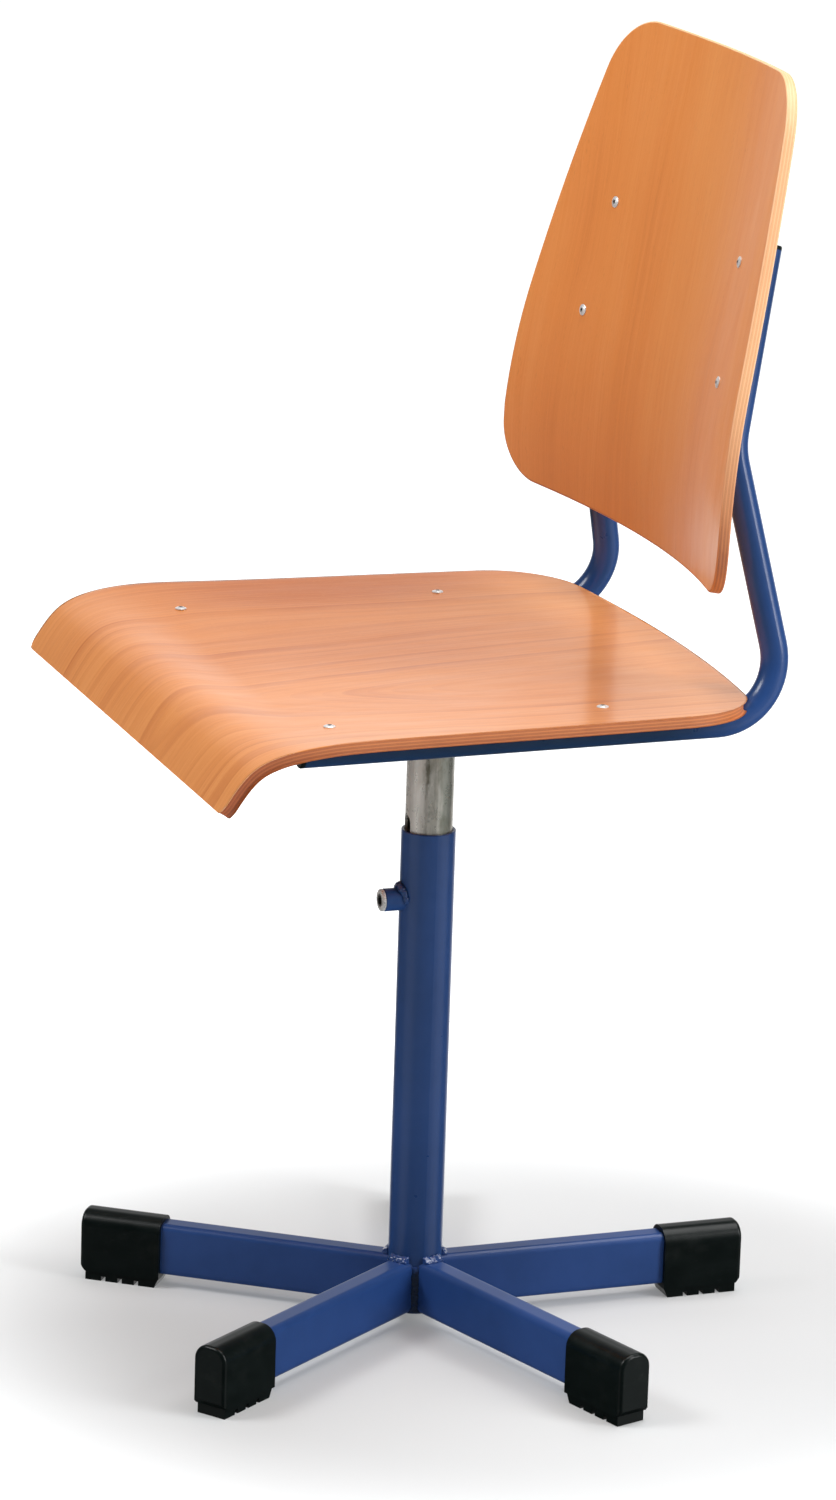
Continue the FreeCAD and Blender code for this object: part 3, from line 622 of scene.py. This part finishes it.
def powder_blue(name, base, deep, seed, spec, coat, painted_shade=None, dull_and_dark_band=0.0):
    """Gloss powder coat with orange peel, slight shade changes, specks of dust under the coat and fine scratches."""
    m = Shader(name)
    p = m.vmath("ADD", m.obj(), (seed, seed * 2.0, seed * 3.0))
    big = m.noise(p, 9.0, 3.0, 0.55)
    mid = m.noise(p, 70.0, 3.0, 0.6)
    peel = m.noise(p, 620.0, 2.0, 0.5)
    speck = m.voronoi(p, 260.0)
    speck = m.span(speck, 0.03, 0.07, 1.0, 0.0)
    col = m.mix(m.span(big, 0.3, 0.7), base, deep)
    col = m.mix(m.math("MULTIPLY", m.span(mid, 0.35, 0.8), 0.18), col, tuple(min(1.0, c * 1.25 + 0.004) for c in base))
    col = m.mix(m.math("MULTIPLY", speck, 0.06), col, tuple(c * 0.5 for c in deep))
    # painted shade: where the given mask is high, the paint is mixed towards a much darker copy of its deep colour
    if painted_shade:
        col = m.mix(m.math("MULTIPLY", painted_shade(m, mid), 1.0, clamp=True), col, tuple(c * 0.30 for c in deep[:1]) + tuple(c * 0.42 for c in deep[1:2]) + tuple(c * 0.30 for c in deep[2:]))
    scr = m.noise(m.scale(p, (400.0, 400.0, 9.0)), 1.0, 2.0, 0.7)
    rough = m.math("ADD", m.span(mid, 0.25, 0.75, 0.27 + dull_and_dark_band, 0.33 + dull_and_dark_band), m.span(scr, 0.66, 0.85, 0.0, 0.07))
    hgt = m.math("ADD", m.math("MULTIPLY", peel, 0.7), m.math("MULTIPLY", speck, 0.12))
    m.set(Base_Color=col, Roughness=rough, Specular_IOR_Level=spec, Coat_Weight=coat, Coat_Roughness=0.16,
          Normal=m.bump(hgt, 0.10, 0.0002))
    return m.mat


def zinc(name):
    """Zinc plated tube, mottled, with drawn streaks along its length and brown stains."""
    m = Shader(name)
    p = m.obj()
    x, y, z = m.split(p)
    ang = m.math("ARCTAN2", y, x)
    u = m.join(m.math("MULTIPLY", ang, 0.0175), z, 0.0)
    streak = m.noise(m.scale(u, (520.0, 16.0, 1.0)), 1.0, 4.0, 0.65)
    mott = m.noise(m.scale(u, (120.0, 60.0, 1.0)), 1.0, 4.0, 0.7)
    spang = m.voronoi(m.scale(u, (190.0, 130.0, 1.0)), 1.0, out="Color")
    sp = m.split(spang)[0]
    stain = m.noise(m.scale(u, (70.0, 22.0, 1.0)), 1.0, 3.0, 0.6, 0.6)
    run = m.noise(m.scale(u, (260.0, 8.0, 1.0)), 1.0, 3.0, 0.6)
    tone = m.math("ADD", m.math("MULTIPLY", streak, 0.40), m.math("ADD", m.math("MULTIPLY", mott, 0.52), m.math("MULTIPLY", sp, 0.08)))
    col = m.ramp(tone, [(0.30, srgb(150, 152, 142)), (0.5, srgb(196, 196, 186)), (0.70, srgb(232, 230, 222))])
    col = m.mix(m.math("MULTIPLY", m.span(stain, 0.50, 0.64), 0.46), col, srgb(122, 114, 90))
    col = m.mix(m.math("MULTIPLY", m.span(run, 0.58, 0.72), 0.34), col, srgb(84, 88, 78))
    # painted highlight down one side of the tube, and a painted dark reflection band on the other
    edge = m.math("ADD", ang, m.math("MULTIPLY", m.math("SUBTRACT", stain, 0.5), 0.5))
    col = m.mix(m.span(edge, -0.75, -0.35, 0.55, 0.0, smooth=True), col, srgb(244, 242, 236))
    dull_and_dark_band = m.math("MULTIPLY", m.span(edge, 0.02, 0.30, 0.0, 1.0, smooth=True), m.span(edge, 0.62, 0.95, 1.0, 0.0, smooth=True))
    col = m.mix(m.math("MULTIPLY", dull_and_dark_band, 0.62), col, srgb(96, 104, 94))
    # weld seam of the tube
    off = m.math("ADD", m.math("ADD", ang, 0.47), m.math("MULTIPLY", m.math("SUBTRACT", mott, 0.5), 0.50))
    seam = m.span(m.math("ABSOLUTE", off), 0.02, 0.12, 1.0, 0.0, smooth=True)
    col = m.mix(m.math("MULTIPLY", m.math("MULTIPLY", seam, m.span(stain, 0.40, 0.58, 0.35, 1.0)), 0.72), col, srgb(84, 80, 62))
    rough = m.math("ADD", m.span(mott, 0.3, 0.7, 0.22, 0.38), m.math("MULTIPLY", m.span(stain, 0.52, 0.7), 0.18))
    hgt = m.math("ADD", m.math("MULTIPLY", streak, 0.5), m.math("MULTIPLY", seam, 0.7))
    m.set(Base_Color=col, Metallic=0.62, Roughness=rough, Normal=m.bump(hgt, 0.25, 0.0003))
    return m.mat


def black_plastic(name, base, pale):
    """Moulded black polypropylene: fine spark-eroded grain, faint flow marks, grey scuffs."""
    m = Shader(name)
    p = m.obj()
    fine = m.noise(p, 1500.0, 2.0, 0.6)
    flow = m.noise(m.scale(p, (40.0, 40.0, 90.0)), 1.0, 3.0, 0.6)
    scuff = m.noise(m.scale(p, (160.0, 160.0, 420.0)), 1.0, 4.0, 0.7, 0.4)
    dust = m.noise(p, 46.0, 4.0, 0.65)
    col = m.mix(m.span(flow, 0.35, 0.7), base, pale)
    col = m.mix(m.math("MULTIPLY", m.span(scuff, 0.60, 0.78), 0.14), col, srgb(70, 76, 74))
    col = m.mix(m.math("MULTIPLY", m.span(dust, 0.55, 0.8), 0.03), col, srgb(140, 140, 134))
    rough = m.math("ADD", m.span(flow, 0.3, 0.7, 0.28, 0.36), m.math("MULTIPLY", m.span(scuff, 0.6, 0.78), 0.12))
    m.set(Base_Color=col, Roughness=rough, Specular_IOR_Level=0.24, Normal=m.bump(fine, 0.12, 0.0002))
    return m.mat


def bright_metal(name, low, high, rough0, rough1, metallic=1.0, socket=None):
    """Plated or bright metal with tumbling marks and tarnish."""
    m = Shader(name)
    p = m.obj()
    a = m.noise(p, 900.0, 3.0, 0.65)
    b = m.noise(p, 170.0, 3.0, 0.6)
    scr = m.noise(m.scale(p, (3000.0, 300.0, 300.0)), 1.0, 2.0, 0.7)
    col = m.ramp(b, [(0.3, low), (0.7, high)])
    if socket:
        # painted shade: the bore of the hex socket and a ring round it are darkened
        x, y, z = m.split(p)
        dz = m.math("SUBTRACT", z, socket[0])
        r = m.math("SQRT", m.math("ADD", m.math("MULTIPLY", x, x), m.math("MULTIPLY", dz, dz)))
        inside = m.math("MULTIPLY", m.span(r, socket[1], socket[1] + 0.0002, 1.0, 0.0), m.span(y, socket[2], socket[2] + 0.0004, 0.0, 1.0))
        socket_shade = m.math("MULTIPLY", m.span(m.math("ADD", r, m.math("MULTIPLY", b, 0.0012)), 0.0050, 0.0062, 0.86, 0.0, smooth=True), 1.0)
        col = m.mix(m.math("MAXIMUM", m.math("MULTIPLY", inside, 0.96), socket_shade), col, srgb(20, 24, 24))
    m.set(Base_Color=col, Metallic=metallic, Roughness=m.span(a, 0.3, 0.7, rough0, rough1),
          Normal=m.bump(m.math("ADD", a, m.math("MULTIPLY", scr, 0.5)), 0.12, 0.0002))
    return m.mat


# the seat's last argument lists two painted shade patches on its face
SEAT_FACE = veneer("seat_veneer", srgb(224, 153, 89), srgb(209, 132, 69), srgb(179, 99, 44), 0.3, (0.075, 0.018), 0.115, 0.0150, 0.42, 0.12, 0.20, 0.50,
                   ((-0.05, 0.27, 0.30, 0.25, 0.22), (-0.225, 0.22, 0.095, 0.24, 0.55)))
BACK_FACE = veneer("back_veneer", srgb(222, 148, 82), srgb(211, 128, 62), srgb(180, 97, 40), 2.1, (-0.34, 0.10), 0.02, 0.023, 0.12, 0.15, 0.40, 0.35)
# the backrest edge's pale colours are a painted highlight on its upper part; the low colours of both edges are painted
# shade
SEAT_EDGE = ply_edge("seat_ply_edge", srgb(226, 140, 78), srgb(160, 82, 40), (0.46, 0.34, srgb(190, 100, 46), srgb(120, 50, 20)))
BACK_EDGE = ply_edge("back_ply_edge", srgb(250, 198, 150), srgb(220, 150, 98), (0.60, 0.76, srgb(196, 110, 54), srgb(124, 56, 24)))
BLUE = powder_blue("blue_powder_coat", srgb(34, 66, 120), srgb(28, 57, 103), 0.0, 0.36, 0.26)
# painted light: the legs get a lighter copy of the same blue paint
LEG_BLUE = powder_blue("blue_powder_coat_legs", srgb(44, 77, 140), srgb(37, 67, 122), 1.7, 0.24, 0.20, None, 0.05)


def under_seat_shade(m, mid):
    """Painted shade on the side tubes where the seat overhangs them."""
    x, y, z = m.split(m.obj())
    low = m.span(m.math("ADD", z, m.math("MULTIPLY", mid, 0.004)), 0.494, 0.506, 0.80, 0.0, smooth=True)
    return m.math("MULTIPLY", low, m.span(y, 0.10, 0.185, 1.0, 0.0, smooth=True))


def leg_corner_shade(m, mid):
    """Painted shade down in the corners between the legs."""
    z = m.split(m.obj())[2]
    return m.span(m.math("ADD", z, m.math("MULTIPLY", mid, 0.004)), 0.042, 0.050, 0.92, 0.0, smooth=True)


TUBE_BLUE = powder_blue("blue_powder_coat_tubes", srgb(34, 66, 120), srgb(28, 57, 103), 0.6, 0.36, 0.26, under_seat_shade)
HUB_WELD = powder_blue("blue_powder_coat_hub_welds", srgb(40, 72, 134), srgb(34, 63, 118), 2.9, 0.5, 0.8, leg_corner_shade)
WELD_BLUE = powder_blue("blue_powder_coat_welds", srgb(34, 66, 120), srgb(28, 57, 103), 3.3, 0.5, 0.8)
ZINC = zinc("zinc_plated_tube")
BLACK = black_plastic("black_polypropylene", srgb(4, 13, 12), srgb(9, 19, 18))
ALLOY = bright_metal("rivet_alloy", srgb(206, 206, 206), srgb(238, 238, 238), 0.25, 0.42, 0.45)
SCREW = bright_metal("plated_screw_steel", srgb(196, 196, 194), srgb(232, 232, 230), 0.22, 0.38, 0.45, (0.3265, 0.0042, -0.0359))
PIN = bright_metal("rivet_pin_steel", srgb(52, 50, 48), srgb(88, 86, 82), 0.4, 0.6)

# ---------------------------------------------------------------------------
# Panels
# ---------------------------------------------------------------------------
half, cf, cr = seat_outline()
seat_sides = four_sides(half, cf, cr, False)
seat = build_panel("seat_panel", seat_sides, seat_place, [SEAT_FACE, SEAT_EDGE], "seat_frame", ("seat_shell",), 140, 150)
half, k0 = back_outline()
k1 = max(range(len(half)), key=lambda i: half[i][0] * 0.55 + half[i][1])
back_sides = four_sides(half, k0, k1, False)
back = build_panel("backrest_panel", back_sides, back_place, [BACK_FACE, BACK_EDGE], "seat_frame", ("backrest_shell",), 130, 140)

# ---------------------------------------------------------------------------
# CAD pieces that stay: finish only
# ---------------------------------------------------------------------------


def finish_node(node, mat):
    me = NODES[node].data
    me.materials.clear()
    me.materials.append(mat)


for node in NODES:
    if node in ("seat_shell", "backrest_shell"):
        continue
    if node.startswith("leg_cap") or node.endswith("plugs"):
        finish_node(node, BLACK)
    elif node == "base_leg_welds":
        finish_node(node, HUB_WELD)
    elif node in ("clamp_sleeve_weld", "frame_welds"):
        finish_node(node, WELD_BLUE)
    elif node.startswith("base_leg_"):
        finish_node(node, LEG_BLUE)
    elif node.startswith("side_tube"):
        finish_node(node, TUBE_BLUE)
    elif node == "inner_column_tube":
        finish_node(node, ZINC)
    elif node.endswith("rivets"):
        finish_node(node, ALLOY)
    elif node in ("clamp_screw", "clamp_nut"):
        finish_node(node, SCREW)
    else:
        finish_node(node, BLUE)



ripple = bpy.data.textures.new("weld_ripple", "CLOUDS")
ripple.noise_scale = 0.0034
ripple.noise_depth = 1
for node in ("base_leg_welds", "clamp_sleeve_weld", "frame_welds"):
    ob = NODES[node]
    mod = ob.modifiers.new("round_off", "REMESH")
    mod.mode = "VOXEL"
    mod.voxel_size = 0.00045
    mod.use_smooth_shade = True
    mod = ob.modifiers.new("soften", "SMOOTH")
    mod.factor = 0.5
    mod.iterations = 2
    mod = ob.modifiers.new("ripple", "DISPLACE")
    mod.texture = ripple
    mod.texture_coords = "LOCAL"
    mod.strength = 0.0017
    mod.mid_level = 0.48


def rivet_pins(node, along, split, guess):
    """A dark broken pin end in the bore of each of a node's four rivets.

    A rivet is round, so the middles of its upper and lower points give its axis."""
    ob = NODES[node]
    groups = {}
    for v in ob.data.vertices:
        w = ob.matrix_world @ v.co
        groups.setdefault((w.x > 0, w[along] > split), []).append(w)
    prof = [(0.0, -0.42), (0.55, -0.44), (0.92, -0.58), (1.04, -0.86), (1.30, -0.98), (1.66, -1.05), (1.66, -1.5)]
    turn = 28
    verts, faces = [], []
    for key in sorted(groups):
        pts = groups[key]
        axis = Vector(guess).normalized()
        for _ in range(4):
            h = [q.dot(axis) for q in pts]
            cut = (max(h) + min(h)) / 2
            up = [q for q, t in zip(pts, h) if t > cut]
            dn = [q for q, t in zip(pts, h) if t <= cut]
            axis = (sum(up, Vector()) / len(up) - sum(dn, Vector()) / len(dn)).normalized()
        mid = sum(pts, Vector()) / len(pts)
        rim = mid + axis * (max(q.dot(axis) for q in pts) - mid.dot(axis))
        e1 = axis.orthogonal().normalized()
        e2 = axis.cross(e1)
        base = len(verts)
        verts.append(tuple(rim + axis * prof[0][1] * 0.001))
        for r, z in prof[1:]:
            for i in range(turn):
                t = 2 * math.pi * i / turn
                verts.append(tuple(rim + axis * z * 0.001 + (e1 * math.cos(t) + e2 * math.sin(t)) * r * 0.001))
        verts.append(tuple(rim - axis * 0.0015))
        for i in range(turn):
            j = (i + 1) % turn
            faces.append((base, base + 1 + i, base + 1 + j))
            for k in range(len(prof) - 2):
                p0, p1 = base + 1 + k * turn, base + 1 + (k + 1) * turn
                faces.append((p0 + i, p1 + i, p1 + j, p0 + j))
            last = base + 1 + (len(prof) - 2) * turn
            faces.append((last + j, last + i, len(verts) - 1))
    pins = new_object(node + "_pins", verts, faces, [PIN], "seat_frame")


rivet_pins("seat_rivets", 1, -0.037, (0, 0, 1))
rivet_pins("backrest_rivets", 2, 0.772, (0, -1, 0.2))

# ---------------------------------------------------------------------------
# Stage: pale floor, soft boxes, camera
# ---------------------------------------------------------------------------
floor_mat = Shader("floor")
fp = floor_mat.obj()
fn = floor_mat.noise(fp, 3.0, 2.0, 0.5)
# the floor glows less near the chair and fully further out: a painted soft shadow round the base on a white floor
far = floor_mat.span(floor_mat.node("ShaderNodeVectorMath", {0: floor_mat.vmath("ADD", fp, (-0.025, -0.07, 0.0))}, operation="LENGTH").outputs["Value"],
                     0.27, 0.66, 0.22, 0.98, smooth=True)
floor_mat.set(Base_Color=floor_mat.mix(fn, (0.53, 0.542, 0.548), (0.55, 0.562, 0.568)), Roughness=0.9, Specular_IOR_Level=0.1,
              Emission_Color=(0.99, 1.0, 1.0, 1.0), Emission_Strength=far)
me = bpy.data.meshes.new("floor")
me.from_pydata([(-30, -30, 0), (30, -30, 0), (30, 30, 0), (-30, 30, 0)], [], [(0, 1, 2, 3)])
me.materials.append(floor_mat.mat)
floor = bpy.data.objects.new("floor", me)
bpy.context.scene.collection.objects.link(floor)
floor.visible_glossy = False


def area(name, loc, target, size, power, color=(1, 1, 1)):
    l = bpy.data.lights.new(name, "AREA")
    l.shape = "RECTANGLE"
    l.size, l.size_y = size
    l.energy = power
    l.color = color
    o = bpy.data.objects.new(name, l)
    o.location = loc
    o.rotation_euler = (Vector(target) - Vector(loc)).to_track_quat("-Z", "Y").to_euler()
    bpy.context.scene.collection.objects.link(o)
    return o


area("top_soft", (0.1, 0.6, 2.9), (0, 0, 0.4), (2.4, 2.4), 88)
area("key_front_left", (-0.2, -2.6, 2.9), (0, 0, 0.6), (1.3, 1.3), 67)
area("side_right", (2.35, 2.5, 1.7), (0, 0, 0.5), (1.2, 2.2), 70)

# white sweep behind the chair, darker room in front of it
world = bpy.data.worlds.new("studio")
bpy.context.scene.world = world
world.use_nodes = True
wt = world.node_tree
bg = wt.nodes["Background"]
tc = wt.nodes.new("ShaderNodeTexCoord")


def world_node(kind, ins, **props):
    n = wt.nodes.new(kind)
    for k, v in props.items():
        setattr(n, k, v)
    for k, v in ins.items():
        if isinstance(v, bpy.types.NodeSocket):
            wt.links.new(v, n.inputs[k])
        else:
            n.inputs[k].default_value = v
    return n.outputs["Value" if kind == "ShaderNodeVectorMath" else 0]


way = tc.outputs["Generated"]
behind = world_node("ShaderNodeVectorMath", {0: way, 1: (-0.90, 0.42, 0.0)}, operation="DOT_PRODUCT")
behind = world_node("ShaderNodeMapRange", {0: behind, 1: 0.68, 2: 0.93, 3: 0.0, 4: 1.0}, interpolation_type="SMOOTHSTEP")
height = world_node("ShaderNodeVectorMath", {0: way, 1: (0.0, 0.0, 1.0)}, operation="DOT_PRODUCT")
height = world_node("ShaderNodeMapRange", {0: height, 1: 0.17, 2: 0.40, 3: 1.0, 4: 0.15}, interpolation_type="SMOOTHSTEP")
glow = world_node("ShaderNodeMath", {0: behind, 1: height}, operation="MULTIPLY")
glow = world_node("ShaderNodeMath", {0: glow, 1: 0.95, 2: 0.05}, operation="MULTIPLY_ADD")
for aim, lo, hi, gain in (((0.565, 0.778, -0.265), 0.86, 0.985, 0.50), ((0.17, -0.95, -0.265), 0.88, 0.985, 0.30),
                         ((-0.873, 0.08, 0.48), 0.92, 0.99, 0.34)):
    spot = world_node("ShaderNodeVectorMath", {0: way, 1: aim}, operation="DOT_PRODUCT")
    spot = world_node("ShaderNodeMapRange", {0: spot, 1: lo, 2: hi, 3: 0.0, 4: gain}, interpolation_type="SMOOTHSTEP")
    glow = world_node("ShaderNodeMath", {0: glow, 1: spot}, operation="ADD")
wt.links.new(glow, bg.inputs[1])
bg.inputs[0].default_value = (1, 1, 1, 1)
bpy.context.scene.view_settings.view_transform = "Standard"
bpy.context.scene.view_settings.look = "None"

cam = bpy.data.cameras.new("camera")
cam.sensor_fit = "VERTICAL"
cam.sensor_height = 36.0
cam.lens = 6027.93 / 1500.0 * 36.0
cam.clip_start = 0.1
cam.clip_end = 100.0
co = bpy.data.objects.new("camera", cam)
R = Matrix(((0.3360136, 0.9413580, 0.0306594), (0.2600353, -0.0614332, -0.9636429), (-0.9052494, 0.3317696, -0.2654287)))
m4 = Matrix.Identity(4)
for i in range(3):
    m4[i][0], m4[i][1], m4[i][2] = R[0][i], -R[1][i], -R[2][i]
m4.translation = (3.9535784, -1.4591526, 1.5975732)
co.matrix_world = m4
bpy.context.scene.collection.objects.link(co)
bpy.context.scene.camera = co
